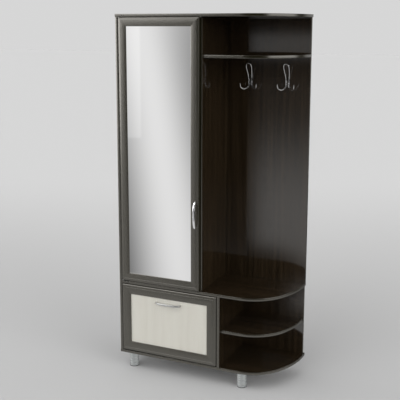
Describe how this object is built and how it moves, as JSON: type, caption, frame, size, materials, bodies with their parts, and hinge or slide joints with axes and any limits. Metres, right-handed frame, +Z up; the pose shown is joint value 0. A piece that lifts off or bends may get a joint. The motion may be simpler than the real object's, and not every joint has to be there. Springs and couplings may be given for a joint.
{
  "type": "hallway unit",
  "caption": "Tall hallway unit: wardrobe bay with a mirror door, a tilt-out shoe flap below it, and an open coat bay with hooks, bench and curved boards.",
  "frame": {"origin": "on the floor, under the middle of the bounding box", "axes": "+X to the right of a person facing the unit, +Y to the wall behind it, +Z up"},
  "size_m": [1.048, 0.436, 2.13],
  "materials": {
    "wenge": "dark brown wood-grain laminate, satin",
    "frame_foil": "grey-brown foil with a satin sheen over moulded fibreboard",
    "mirror": "silvered glass",
    "cream_insert": "cream laminate, satin",
    "fibreboard": "thin brown fibreboard, matt",
    "beech": "plain beech",
    "chrome": "polished",
    "leg_aluminium": "brushed round tube",
    "black_plastic": "moulded, matt",
    "zinc_steel": "bright zinc plate"
  },
  "bodies": {
    "cabinet": {"side_panel": "wenge", "partition_upper": "wenge", "partition_lower": "wenge", "top_board": "wenge", "bench_board": "wenge", "bottom_board": "wenge", "bay_back": "wenge", "niche_back": "wenge", "hat_shelf": "wenge", "niche_shelf": "wenge", "wardrobe_shelf": "wenge", "screw_caps": "wenge", "wardrobe_back": "fibreboard", "shoe_bay_back": "fibreboard", "dowels": "beech", "coat_hook_left": "chrome", "coat_hook_right": "chrome", "hook_brackets": "chrome", "hanging_rail": "chrome", "hook_screws": "chrome", "legs": "leg_aluminium", "leg_pads": "black_plastic", "door_catch": "black_plastic", "flap_catch": "black_plastic", "shelf_pins": "zinc_steel", "rail_brackets": "zinc_steel", "rail_screws": "zinc_steel", "leg_plates": "zinc_steel", "leg_screws": "zinc_steel", "cabinet_screws": "zinc_steel", "back_nails": "zinc_steel", "door_pivot_plates": "zinc_steel", "pivot_screws": "zinc_steel", "flap_pivot_pins": "zinc_steel"},
    "door": {"door_stile_hinge": "frame_foil", "door_stile_handle": "frame_foil", "door_rail_top": "frame_foil", "door_rail_bottom": "frame_foil", "door_mirror": "mirror", "door_backing": "fibreboard", "door_handle": "chrome", "door_handle_screws": "zinc_steel", "door_bushes": "zinc_steel", "door_strike": "zinc_steel"},
    "flap": {"flap_stile_left": "frame_foil", "flap_stile_right": "frame_foil", "flap_rail_top": "frame_foil", "flap_rail_bottom": "frame_foil", "flap_insert": "cream_insert", "flap_handle": "chrome", "flap_handle_screws": "zinc_steel", "rack_bracket_left": "black_plastic", "rack_bracket_right": "black_plastic", "shoe_tray_lower": "black_plastic", "shoe_tray_upper": "black_plastic", "rack_screws": "zinc_steel", "flap_strike": "zinc_steel"}
  },
  "joints": [
    {"name": "door_hinge", "type": "hinge", "parent": "cabinet", "child": "door", "pos_m": [-0.4975, -0.182, 1.336], "axis": [0, 0, -1], "range_deg": [0, 105]},
    {"name": "flap_tilt", "type": "hinge", "parent": "cabinet", "child": "flap", "pos_m": [-0.197, -0.158, 0.198], "axis": [1, 0, 0], "range_deg": [0, 40]}
  ]
}
